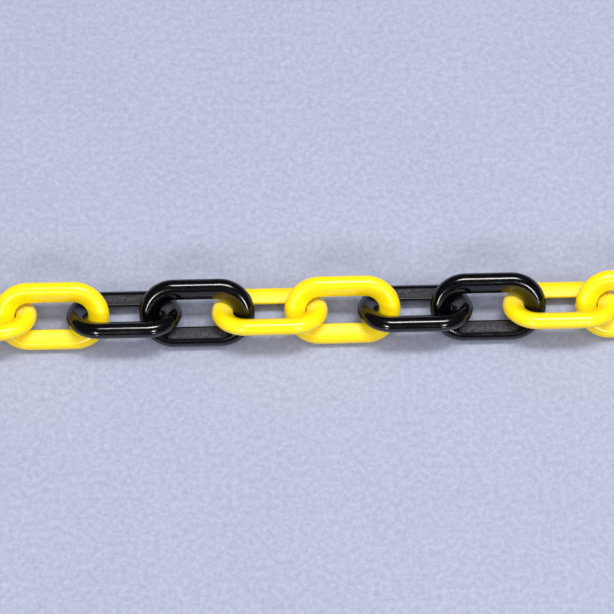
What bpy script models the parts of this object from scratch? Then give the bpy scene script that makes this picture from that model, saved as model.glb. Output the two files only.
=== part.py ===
"""A length of moulded plastic barrier chain: plain closed links, two black and two yellow in turn.

Metres, +Z up. The chain lies straight along X with its middle over the origin. Its links lean
left and right in turn, each on its lower bar, which rests on Z = 0. A link's own frame has X
along the chain, Y across its two bars and Z through its eye. A link is one moulding: two
straight bars joined by a half-round crown at each end. Neighbouring links pass through each
other's eyes, and the chain is drawn out until their crowns all but touch where they cross.
"""

import math

import bmesh
import bpy
from mathutils import Matrix, Vector
from mathutils.bvhtree import BVHTree

# The chain
LINK_COUNT = 22
LINKS_PER_COLOUR = 2
LINK_GAP = 0.0003  # left between two neighbours where they come closest
LEAN = math.radians(37.5)  # how far each link leans out of the horizontal

# One link
LINK_LENGTH = 0.0510  # outside, along the chain
EYE_PLAY = 0.0030  # how much wider the eye is than the section that has to swing in it

# The link's section: its depth lies in the plane of the link, its thickness across it. It is
# round on the outer side, and two flats draw it in to a narrower nose on the inner side
SECTION_DEPTH = 0.0094
SECTION_THICKNESS = 0.0072
NOSE_RADIUS = 0.0009

# Roundness
CROWN_STEPS = 12
OUTER_STEPS = 12
NOSE_STEPS = 4

# How finely the links are drawn out in finding their pitch
DRAW_STEP = 0.00001

# Follows from the sizes above
EYE_WIDTH = SECTION_DEPTH + EYE_PLAY
LINK_WIDTH = EYE_WIDTH + 2 * SECTION_DEPTH
BAR_LENGTH = LINK_LENGTH - LINK_WIDTH
CROWN_RADIUS = (LINK_WIDTH - SECTION_DEPTH) / 2  # to the middle of the section


def clear_scene():
    for obj in list(bpy.data.objects):
        bpy.data.objects.remove(obj, do_unlink=True)


def plastic(name, colour, roughness):
    material = bpy.data.materials.new(name)
    material.use_nodes = True
    shader = material.node_tree.nodes["Principled BSDF"]
    shader.inputs["Base Color"].default_value = (*colour, 1.0)
    shader.inputs["Roughness"].default_value = roughness
    shader.inputs["Metallic"].default_value = 0.0
    return material


def section_outline():
    """Points round the section as (outward, across): the outer round, then the nose, with a flat between."""
    outer_radius = SECTION_THICKNESS / 2
    outer_centre = SECTION_DEPTH / 2 - outer_radius
    nose_centre = NOSE_RADIUS - SECTION_DEPTH / 2
    flat_tilt = math.asin((outer_radius - NOSE_RADIUS) / (outer_centre - nose_centre))
    outline = []
    for steps, centre, radius, start, end in (
        (OUTER_STEPS, outer_centre, outer_radius, math.pi / 2 + flat_tilt, -math.pi / 2 - flat_tilt),
        (NOSE_STEPS, nose_centre, NOSE_RADIUS, -math.pi / 2 - flat_tilt, flat_tilt - 1.5 * math.pi),
    ):
        for step in range(steps + 1):
            angle = start + (end - start) * step / steps
            outline.append((centre + radius * math.cos(angle), radius * math.sin(angle)))
    return outline


def link_shape():
    """One link about its own middle: the section is spun round a crown, drawn along a bar, and so on."""
    shape = bmesh.new()
    corners = []
    for outward, across in section_outline():
        corners.append(shape.verts.new((BAR_LENGTH / 2, -CROWN_RADIUS - outward, across)))
    start_ring = [shape.edges.new((corners[i - 1], corners[i])) for i in range(len(corners))]
    ring = start_ring
    for end in (1, -1):
        spun = bmesh.ops.spin(
            shape,
            geom=ring,
            cent=(end * BAR_LENGTH / 2, 0, 0),
            axis=(0, 0, 1),
            angle=math.pi,
            steps=CROWN_STEPS,
        )
        ring = [item for item in spun["geom_last"] if isinstance(item, bmesh.types.BMEdge)]
        if end == 1:
            bar = bmesh.ops.extrude_edge_only(shape, edges=ring)["geom"]
            ring = [item for item in bar if isinstance(item, bmesh.types.BMEdge) and item.is_boundary]
            moved = {vertex for edge in ring for vertex in edge.verts}
            bmesh.ops.translate(shape, verts=list(moved), vec=(-BAR_LENGTH, 0, 0))
    bmesh.ops.bridge_loops(shape, edges=ring + start_ring)
    bmesh.ops.recalc_face_normals(shape, faces=shape.faces)
    return shape


def drawn_out_pitch(shape):
    """The pitch at which the next link, drawn along X, comes within LINK_GAP of this one."""
    surface = BVHTree.FromBMesh(shape)
    to_next = Matrix.Rotation(2 * LEAN, 4, "X")
    crown = [to_next @ vertex.co for vertex in shape.verts if vertex.co.x < -BAR_LENGTH / 2]
    crown += [
        to_next @ ((edge.verts[0].co + edge.verts[1].co) / 2)
        for edge in shape.edges
        if max(edge.verts[0].co.x, edge.verts[1].co.x) < -BAR_LENGTH / 2
    ]
    pitch = LINK_LENGTH - 3 * SECTION_DEPTH
    while True:
        drawn = Vector((pitch + DRAW_STEP, 0, 0))
        if min(surface.find_nearest(point + drawn)[3] for point in crown) < LINK_GAP:
            return pitch
        pitch += DRAW_STEP


def link_mesh(name, shape, material):
    mesh = bpy.data.meshes.new(name)
    shape.to_mesh(mesh)
    mesh.materials.append(material)
    mesh.shade_smooth()
    return mesh


def lean_of(index):
    """Even links stand with their front bar high, odd links with their back bar high."""
    return Matrix.Rotation(-LEAN if index % 2 == 0 else LEAN, 4, "X")


def build_chain():
    shape = link_shape()
    pitch = drawn_out_pitch(shape)
    height = -min((lean_of(0) @ vertex.co).z for vertex in shape.verts)

    # A link hinges on the middle of the crown that passes through its eye, so its origin goes there
    hinge_to_middle = pitch - LINK_LENGTH / 2 + SECTION_DEPTH / 2
    bmesh.ops.translate(shape, verts=shape.verts, vec=(hinge_to_middle, 0, 0))
    first_hinge = -pitch * (LINK_COUNT - 1) / 2 - hinge_to_middle
    looks = [
        ("black", link_mesh("black_link", shape, plastic("black_plastic", (0.006, 0.006, 0.007), 0.22))),
        ("yellow", link_mesh("yellow_link", shape, plastic("yellow_plastic", (0.92, 0.70, 0.008), 0.28))),
    ]
    shape.free()
    for index in range(LINK_COUNT):
        colour, mesh = looks[index // LINKS_PER_COLOUR % len(looks)]
        link = bpy.data.objects.new(f"{colour}_link_{index + 1:02d}", mesh)
        place = Matrix.Translation((first_hinge + pitch * index, 0, height))
        link.matrix_world = place @ lean_of(index)
        bpy.context.collection.objects.link(link)


clear_scene()
build_chain()
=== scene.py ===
"""Looks for the plastic barrier chain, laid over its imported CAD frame.

Metres, +Z up, in the frame of the CAD. Each link is rebuilt as one finer moulding with its
parting line, its rough inner cheeks and its slight unevenness, and stands for the CAD link.
"""

import math

import bpy
import numpy as np
from mathutils import Matrix, Vector, noise


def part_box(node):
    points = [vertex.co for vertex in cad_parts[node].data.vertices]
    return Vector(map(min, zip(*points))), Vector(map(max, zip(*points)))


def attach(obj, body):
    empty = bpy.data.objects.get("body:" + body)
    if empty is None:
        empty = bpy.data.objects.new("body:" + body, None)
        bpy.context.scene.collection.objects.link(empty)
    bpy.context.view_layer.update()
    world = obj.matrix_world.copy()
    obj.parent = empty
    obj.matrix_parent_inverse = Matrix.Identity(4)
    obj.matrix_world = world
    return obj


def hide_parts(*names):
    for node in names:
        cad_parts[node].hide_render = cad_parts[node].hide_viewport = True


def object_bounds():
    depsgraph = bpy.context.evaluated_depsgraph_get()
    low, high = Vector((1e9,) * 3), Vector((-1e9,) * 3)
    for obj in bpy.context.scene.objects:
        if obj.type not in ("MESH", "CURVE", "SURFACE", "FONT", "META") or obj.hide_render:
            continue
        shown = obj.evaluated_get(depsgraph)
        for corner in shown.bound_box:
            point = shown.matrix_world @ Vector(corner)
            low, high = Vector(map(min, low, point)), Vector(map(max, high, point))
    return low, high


# The link, as the CAD has it
LINK_LENGTH = 0.0510
SECTION_DEPTH = 0.0094
SECTION_THICKNESS = 0.0072
NOSE_RADIUS = 0.0009
EYE_WIDTH = 0.0124
LEAN = math.radians(37.5)
BAR_LENGTH = LINK_LENGTH - EYE_WIDTH - 2 * SECTION_DEPTH
CROWN_RADIUS = (EYE_WIDTH + SECTION_DEPTH) / 2

# How finely the surface is divided, round the link and round half its section
CROWN_STATIONS = 48
BAR_STATIONS = 26
PARTING_ANGLES = np.radians([0, 1.4, 2.8, 4.4, 7.0])
OUTER_START = math.radians(13)
OUTER_POINTS = 10
CHEEK_STEPS = 9
NOSE_POINTS = 4

# The finer surface. It is inset so that it stays inside the CAD box with its parting line, a
# ridge along the outer side that is torn off here and there
SURFACE_INSET = 0.00006
PARTING_HEIGHT = 0.00013
PARTING_WIDTH = 0.00011
TEAR_SIZE = 0.0022
WAVE_SIZE = 0.007
WAVE_HEIGHT = 0.00004

# The inner cheeks bulge a little. The ones that face up on the low bars are rough, and so are those
# that face down on the high bars: most at the outer side, and least at the nose, where their chalky
# colour also fades away as painted shade
CHEEK_RADIUS = 0.012
CHEEK_RISE = 5.0  # the roughness is full a fifth of the way across
# Fading the chalky colour toward the nose paints the shade where the sheen falls away
CHEEK_FADE_AND_PAINTED_SHADE = 0.9  # how much of it is gone at the nose
CROWN_FADE = 0.004  # how far it runs out into the crowns
GRAIN_HEIGHT = 0.00009
GRAIN_SIZE = 0.0014

# The plastics
PLASTIC_IOR = 1.57
TONE_STEP = 0.618034  # spreads the tones of the links evenly over 0 to 1
TONE_SHIFT = (0.37, 0.61, 0.83)  # how far a link's tone moves its textures

# The floor and the lamps
FLOOR_HALF = 3.0
FLOOR_DROP = 0.00005
LAMP_DISTANCE = 1.5
ROOM_COLOUR = (0.85, 0.88, 1.0, 1.0)
ROOM_STRENGTH = 0.06

# The camera
CAMERA_ELEVATION = math.radians(72)
CAMERA_ROLL = math.radians(1.25)
CAMERA_DISTANCE = 0.964
CAMERA_LENS = 129.0  # millimetres, with a sensor 36 mm wide
AIM_ALONG = 0.0004
AIM_UP = 0.0016


def closed_path():
    """Stations round a link as rows of (x, y, outward x, outward y, how far into a crown)."""
    rows = []
    for end in (1, -1):
        for step in range(CROWN_STATIONS):
            angle = -math.pi / 2 + math.pi * step / CROWN_STATIONS
            out = (end * math.cos(angle), end * math.sin(angle))
            middle = (end * BAR_LENGTH / 2 + CROWN_RADIUS * out[0], CROWN_RADIUS * out[1])
            into = CROWN_RADIUS * (math.pi / 2 - abs(angle))
            rows.append((*middle, *out, into))
        for step in range(BAR_STATIONS):
            x = end * BAR_LENGTH * (0.5 - step / BAR_STATIONS)
            rows.append((x, end * CROWN_RADIUS, 0.0, float(end), 0.0))
    return np.array(rows)


def arc(x, y, radius, angles):
    return [(x + radius * math.cos(angle), y + radius * math.sin(angle)) for angle in angles]


def section():
    """Points round the section as (outward, across, how rough, which also sets the painted shade
    toward the nose).

    Half of it is an outer arc, a cheek and a nose, each touching the next without a kink.
    """
    outer_radius = SECTION_THICKNESS / 2 - SURFACE_INSET
    outer_centre = (SECTION_DEPTH - SECTION_THICKNESS) / 2
    nose_radius = NOSE_RADIUS - SURFACE_INSET
    nose_centre = NOSE_RADIUS - SECTION_DEPTH / 2
    to_outer, to_nose = CHEEK_RADIUS - outer_radius, CHEEK_RADIUS - nose_radius
    between = outer_centre - nose_centre
    cheek_x = ((to_nose**2 - to_outer**2) / between + outer_centre + nose_centre) / 2
    cheek_y = -math.sqrt(to_outer**2 - (cheek_x - outer_centre) ** 2)
    start = math.atan2(-cheek_y, outer_centre - cheek_x)
    stop = math.atan2(-cheek_y, nose_centre - cheek_x)

    outer_angles = [*PARTING_ANGLES, *np.linspace(OUTER_START, start, OUTER_POINTS)]
    shares = [step / CHEEK_STEPS for step in range(1, CHEEK_STEPS)]
    cheek_angles = [start + (stop - start) * share for share in shares]
    nose_angles = np.linspace(stop, math.pi, NOSE_POINTS)
    upper = [(*point, 0.0) for point in arc(outer_centre, 0, outer_radius, outer_angles)]
    # The share fades toward the nose: less roughness, and painted shade in the chalky colour
    for point, share in zip(arc(cheek_x, cheek_y, CHEEK_RADIUS, cheek_angles), shares):
        upper.append((*point, min(1.0, CHEEK_RISE * share) * (1 - CHEEK_FADE_AND_PAINTED_SHADE * share)))
    upper += [(*point, 0.0) for point in arc(nose_centre, 0, nose_radius, nose_angles)]
    upper = np.array(upper)
    lower = upper[-2:0:-1] * (1, -1, 1)
    return np.concatenate([upper, lower])


def smooth_step(value):
    value = np.clip(value, 0, 1)
    return value * value * (3 - 2 * value)


def noise_at(points, size, shift):
    offset = Vector((shift, -shift, 2 * shift))
    return np.array([noise.noise(Vector(p) / size + offset) for p in points])


def section_normals(outline):
    along = np.roll(outline, -1, axis=0) - np.roll(outline, 1, axis=0)
    normals = np.stack([along[:, 1], -along[:, 0]], 1)
    return normals / np.linalg.norm(normals, axis=1, keepdims=True)


def ridge_along(outline, tear):
    """The parting line: how far it stands up at each point, none where it is torn off."""
    profile = np.exp(-((outline[:, 1] / PARTING_WIDTH) ** 2)) * (outline[:, 0] > 0)
    return profile[None] * PARTING_HEIGHT * np.clip(0.5 + 0.9 * tear, 0, 1)


def link_arrays(seed, lean):
    """The finer link about its own middle, leaning as it rests, and how rough each point is, with
    the painted shade toward the nose in the same mask.
    """
    path = closed_path()
    outline = section()
    outline, on_cheek = outline[:, :2], outline[:, 2]
    x = path[:, None, 0] + path[:, None, 2] * outline[None, :, 0]
    y = path[:, None, 1] + path[:, None, 3] * outline[None, :, 0]
    vertices = np.stack([x, y, np.repeat(outline[None, :, 1], len(path), axis=0)], -1)

    rough_side = path[:, None, 1] * outline[None, :, 1] * lean < 0
    rough_and_shade_mask = rough_side * on_cheek[None] * (1 - smooth_step(path[:, None, 4] / CROWN_FADE))
    points = vertices.reshape(-1, 3)
    wave = noise_at(points, WAVE_SIZE, 3.1 * seed).reshape(x.shape) * WAVE_HEIGHT
    grain = noise_at(points, GRAIN_SIZE, 7.7 * seed).reshape(x.shape) * GRAIN_HEIGHT * rough_and_shade_mask
    tear = noise_at(points, TEAR_SIZE, 1.9 * seed).reshape(x.shape)
    push = wave + grain + ridge_along(outline, tear) - SURFACE_INSET * 0.5
    normals = section_normals(outline)
    vertices[..., 0] += path[:, None, 2] * normals[None, :, 0] * push
    vertices[..., 1] += path[:, None, 3] * normals[None, :, 0] * push
    vertices[..., 2] += normals[None, :, 1] * push

    y, z = vertices[..., 1].copy(), vertices[..., 2].copy()
    vertices[..., 1] = y * math.cos(lean) - z * math.sin(lean)
    vertices[..., 2] = y * math.sin(lean) + z * math.cos(lean)
    return vertices, rough_and_shade_mask


def link_mesh(name, seed, tone, lean):
    vertices, rough_and_shade_mask = link_arrays(seed, lean)
    stations, around = rough_and_shade_mask.shape
    i, j = np.meshgrid(np.arange(stations), np.arange(around), indexing="ij")
    i2, j2 = (i + 1) % stations, (j + 1) % around
    faces = np.stack([i * around + j, i2 * around + j, i2 * around + j2, i * around + j2], -1)
    mesh = bpy.data.meshes.new(name)
    mesh.from_pydata(vertices.reshape(-1, 3).tolist(), [], faces.reshape(-1, 4).tolist())
    mesh.validate()
    mesh.update()
    for label, values in (("rough", rough_and_shade_mask.ravel()), ("tone", np.full(rough_and_shade_mask.size, tone))):
        layer = mesh.attributes.new(label, "FLOAT", "POINT")
        layer.data.foreach_set("value", values.astype(np.float32))
    mesh.shade_smooth()
    return mesh


class Nodes:
    """Short calls for building one material's nodes."""

    def __init__(self, name):
        self.material = bpy.data.materials.new(name)
        self.material.use_nodes = True
        self.tree = self.material.node_tree
        self.shader = self.tree.nodes["Principled BSDF"]

    def add(self, kind, **settings):
        node = self.tree.nodes.new(kind)
        for key, value in settings.items():
            setattr(node, key, value)
        return node

    def link(self, out, into):
        self.tree.links.new(out, into)

    def attribute(self, name):
        return self.add("ShaderNodeAttribute", attribute_name=name).outputs["Fac"]

    def place(self):
        """Coordinates in metres on the link, moved on by a different amount for each link."""
        where = self.add("ShaderNodeTexCoord").outputs["Object"]
        moved = self.add("ShaderNodeVectorMath", operation="MULTIPLY_ADD")
        self.link(self.attribute("tone"), moved.inputs[0])
        moved.inputs[1].default_value = TONE_SHIFT
        self.link(where, moved.inputs[2])
        return moved.outputs["Vector"]

    def noise(self, where, size, detail=2.0, rough=0.5):
        node = self.add("ShaderNodeTexNoise")
        node.inputs["Scale"].default_value = 1 / size
        node.inputs["Detail"].default_value = detail
        node.inputs["Roughness"].default_value = rough
        self.link(where, node.inputs["Vector"])
        return node.outputs["Fac"]

    def ramp(self, value, low, high, from_low=0.3, from_high=0.7):
        """The value stretched from its own range to low and high, and held between them."""
        node = self.add("ShaderNodeMapRange")
        for label, number in (
            ("From Min", from_low),
            ("From Max", from_high),
            ("To Min", low),
            ("To Max", high),
        ):
            node.inputs[label].default_value = number
        self.link(value, node.inputs["Value"])
        return node.outputs["Result"]

    def mix(self, share, first, second):
        node = self.add("ShaderNodeMix", data_type="RGBA")
        self.link(share, node.inputs[0])
        for value, socket in ((first, node.inputs[6]), (second, node.inputs[7])):
            if isinstance(value, tuple):
                socket.default_value = (*value, 1.0)
            else:
                self.link(value, socket)
        return node.outputs[2]

    def mix_number(self, share, first, second):
        node = self.add("ShaderNodeMix", data_type="FLOAT")
        self.link(share, node.inputs[0])
        for value, socket in ((first, node.inputs[2]), (second, node.inputs[3])):
            if isinstance(value, float):
                socket.default_value = value
            else:
                self.link(value, socket)
        return node.outputs[0]

    def times(self, first, second):
        node = self.add("ShaderNodeMath", operation="MULTIPLY")
        for value, socket in ((first, node.inputs[0]), (second, node.inputs[1])):
            if isinstance(value, float):
                socket.default_value = value
            else:
                self.link(value, socket)
        return node.outputs[0]

    def bump(self, height, distance, strength=1.0, below=None):
        node = self.add("ShaderNodeBump")
        node.inputs["Strength"].default_value = strength
        node.inputs["Distance"].default_value = distance
        self.link(height, node.inputs["Height"])
        if below is not None:
            self.link(below, node.inputs["Normal"])
        return node.outputs["Normal"]

    def scratches(self, where):
        node = self.add("ShaderNodeTexNoise")
        node.inputs["Scale"].default_value = 700
        node.inputs["Detail"].default_value = 5.0
        node.inputs["Distortion"].default_value = 1.6
        self.link(where, node.inputs["Vector"])
        return self.ramp(node.outputs["Fac"], 0.0, 1.0, 0.6, 0.75)


def plastic_colour(n, where, rough, deep, light, chalk_dark, chalk_pale):
    clouds = n.ramp(n.noise(where, 0.009, 3.0), 0.0, 1.0)
    specks = n.ramp(n.noise(where, 0.0013, 4.0, 0.7), 0.0, 1.0, 0.4, 0.62)
    pigment = n.mix(clouds, deep, light)
    chalk = n.mix(specks, chalk_dark, chalk_pale)
    # The rough mask mixes in the chalky colour, and its fade toward the nose paints shade there
    n.link(n.mix(rough, pigment, chalk), n.shader.inputs["Base Color"])


def plastic_gloss(n, where, rough, gloss, chalk_gloss):
    smear = n.ramp(n.noise(where, 0.0035, 4.0, 0.6), *gloss)
    rubbed = n.ramp(n.noise(where, 0.0007, 3.0, 0.7), *chalk_gloss)
    on_cheek = n.ramp(rough, 0.0, 1.0, 0.0, 0.2)
    n.link(n.mix_number(on_cheek, smear, rubbed), n.shader.inputs["Roughness"])
    n.shader.inputs["IOR"].default_value = PLASTIC_IOR
    n.shader.inputs["Specular IOR Level"].default_value = 0.5


def plastic_relief(n, where, rough):
    """Orange peel all over, fine scuffs, and grain on the rough cheeks."""
    peel = n.bump(n.noise(where, 0.0016, 2.0), 0.00001)
    scuffs = n.bump(n.scratches(where), 0.000006, below=peel)
    grain = n.times(n.noise(where, 0.00045, 5.0, 0.7), rough)
    n.link(n.bump(grain, 0.00009, below=scuffs), n.shader.inputs["Normal"])


def moulded_plastic(name, pigments, chalks, gloss, chalk_gloss):
    """Glossy moulded plastic, with a cloudy colour, and chalky where the cheeks are rough, the
    chalk fading toward the nose as painted shade.
    """
    n = Nodes(name)
    where = n.place()
    rough = n.attribute("rough")
    plastic_colour(n, where, rough, *pigments, *chalks)
    plastic_gloss(n, where, rough, gloss, chalk_gloss)
    plastic_relief(n, where, rough)
    return n


def black_plastic():
    n = moulded_plastic(
        "black_gloss_plastic",
        pigments=((0.0005, 0.0004, 0.0008), (0.0014, 0.0012, 0.002)),
        chalks=((0.0015, 0.0013, 0.002), (0.075, 0.066, 0.092)),
        gloss=(0.13, 0.2),
        chalk_gloss=(0.62, 0.8),
    )
    return n.material


def yellow_plastic():
    """Light runs a little way into the yellow plastic."""
    n = moulded_plastic(
        "yellow_gloss_plastic",
        pigments=((0.96, 0.67, 0.002), (0.98, 0.73, 0.004)),
        chalks=((0.96, 0.69, 0.004), (0.98, 0.75, 0.012)),
        gloss=(0.2, 0.3),
        chalk_gloss=(0.42, 0.58),
    )
    n.shader.inputs["Subsurface Weight"].default_value = 0.12
    n.shader.inputs["Subsurface Radius"].default_value = (0.0016, 0.0011, 0.0002)
    n.shader.inputs["Subsurface Scale"].default_value = 1.0
    return n.material


def paper():
    """Pale blue-grey card with a faint fibre mottle."""
    n = Nodes("pale_card")
    where = n.add("ShaderNodeTexCoord").outputs["Object"]
    broad = n.ramp(n.noise(where, 0.05, 3.0), 0.0, 1.0)
    fibres = n.ramp(n.noise(where, 0.0024, 4.0, 0.72), 0.0, 1.0, 0.3, 0.7)
    dark = n.mix(broad, (0.262, 0.28, 0.376), (0.27, 0.289, 0.386))
    pale = n.mix(broad, (0.352, 0.376, 0.486), (0.36, 0.386, 0.5))
    n.link(n.mix(fibres, dark, pale), n.shader.inputs["Base Color"])
    n.shader.inputs["Roughness"].default_value = 0.85
    n.shader.inputs["Specular IOR Level"].default_value = 0.25
    n.link(n.bump(n.noise(where, 0.0012, 4.0, 0.7), 0.00004, 0.6), n.shader.inputs["Normal"])
    return n.material


def build_links(frame):
    """Each link stands at the middle of its CAD link's box; odd ones have their front bar high."""
    looks = {"black": black_plastic(), "yellow": yellow_plastic()}
    for node in sorted(frame["nodes"], key=lambda name: name[-2:]):
        number = int(node[-2:])
        colour = node.split("_")[0]
        low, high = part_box(node)
        lean = -LEAN if number % 2 else LEAN
        tone = (number * TONE_STEP) % 1.0
        mesh = link_mesh(node + "_moulding", number, tone, lean)
        mesh.materials.append(looks[colour])
        link = bpy.data.objects.new(node + "_moulding", mesh)
        bpy.context.scene.collection.objects.link(link)
        link.location = (low + high) / 2
        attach(link, f"link_{number:02d}")
        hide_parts(node)


def build_floor():
    mesh = bpy.data.meshes.new("floor")
    turns = ((-1, -1), (1, -1), (1, 1), (-1, 1))
    corners = [(x * FLOOR_HALF, y * FLOOR_HALF, 0) for x, y in turns]
    mesh.from_pydata(corners, [], [(0, 1, 2, 3)])
    mesh.materials.append(paper())
    floor = bpy.data.objects.new("floor", mesh)
    floor.location.z = -FLOOR_DROP
    bpy.context.scene.collection.objects.link(floor)


def soft_box(name, direction, size, power, colour, mirrored=True):
    """A lamp that faces the middle of the chain; one that isn't mirrored only fills the shadows."""
    light = bpy.data.lights.new(name, "AREA")
    light.shape = "RECTANGLE"
    light.size, light.size_y = size
    light.energy = power
    light.color = colour
    lamp = bpy.data.objects.new(name, light)
    away = Vector(direction).normalized()
    across = (Vector((1, 0, 0)) - away * away.x).normalized()
    place = Matrix((across, away.cross(across), away)).transposed().to_4x4()
    place.translation = away * LAMP_DISTANCE
    lamp.matrix_world = place
    lamp.visible_glossy = mirrored
    bpy.context.scene.collection.objects.link(lamp)


def build_lights():
    """A long box overhead draws the lines along the bars, and two in front light the crowns."""
    soft_box("overhead", (0.12, 0.2, 0.97), (0.8, 0.24), 17.0, (1.0, 0.99, 0.97))
    for name, side in (("left", -1), ("right", 1)):
        fill = (0.57 * side, -0.03, 0.82)
        soft_box(name, fill, (1.5, 1.5), 11.5, (1.0, 0.99, 0.98), mirrored=False)
        front = (0.31 * side, -0.7, 0.643)
        soft_box("front_" + name, front, (0.16, 0.3), 5.0, (1.0, 1.0, 1.0))
    world = bpy.data.worlds.new("room")
    world.use_nodes = True
    background = world.node_tree.nodes["Background"]
    background.inputs["Color"].default_value = ROOM_COLOUR
    background.inputs["Strength"].default_value = ROOM_STRENGTH
    bpy.context.scene.world = world


def build_camera(height):
    data = bpy.data.cameras.new("camera")
    data.lens = CAMERA_LENS
    data.sensor_width = 36.0
    data.clip_start = 0.01
    data.clip_end = 20.0
    camera = bpy.data.objects.new("camera", data)
    back = Vector((0, -math.cos(CAMERA_ELEVATION), math.sin(CAMERA_ELEVATION)))
    level_up = Vector((0, math.sin(CAMERA_ELEVATION), math.cos(CAMERA_ELEVATION)))
    along = Vector((1, 0, 0))
    right = along * math.cos(CAMERA_ROLL) - level_up * math.sin(CAMERA_ROLL)
    up = level_up * math.cos(CAMERA_ROLL) + along * math.sin(CAMERA_ROLL)
    aim = Vector((0, 0, height)) + right * AIM_ALONG + up * AIM_UP
    place = Matrix((right, up, back)).transposed().to_4x4()
    place.translation = aim + back * CAMERA_DISTANCE
    camera.matrix_world = place
    bpy.context.scene.collection.objects.link(camera)
    bpy.context.scene.camera = camera


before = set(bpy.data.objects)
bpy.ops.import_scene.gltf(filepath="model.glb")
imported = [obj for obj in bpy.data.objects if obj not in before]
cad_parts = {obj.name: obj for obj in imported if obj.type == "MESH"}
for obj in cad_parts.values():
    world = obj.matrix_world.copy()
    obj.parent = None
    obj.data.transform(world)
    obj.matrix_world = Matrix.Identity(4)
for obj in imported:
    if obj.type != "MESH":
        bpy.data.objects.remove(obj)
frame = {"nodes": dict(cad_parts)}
cad_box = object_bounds()
bpy.context.scene.view_settings.view_transform = "Standard"
build_links(frame)
build_floor()
build_lights()
build_camera(cad_box[1].z / 2)
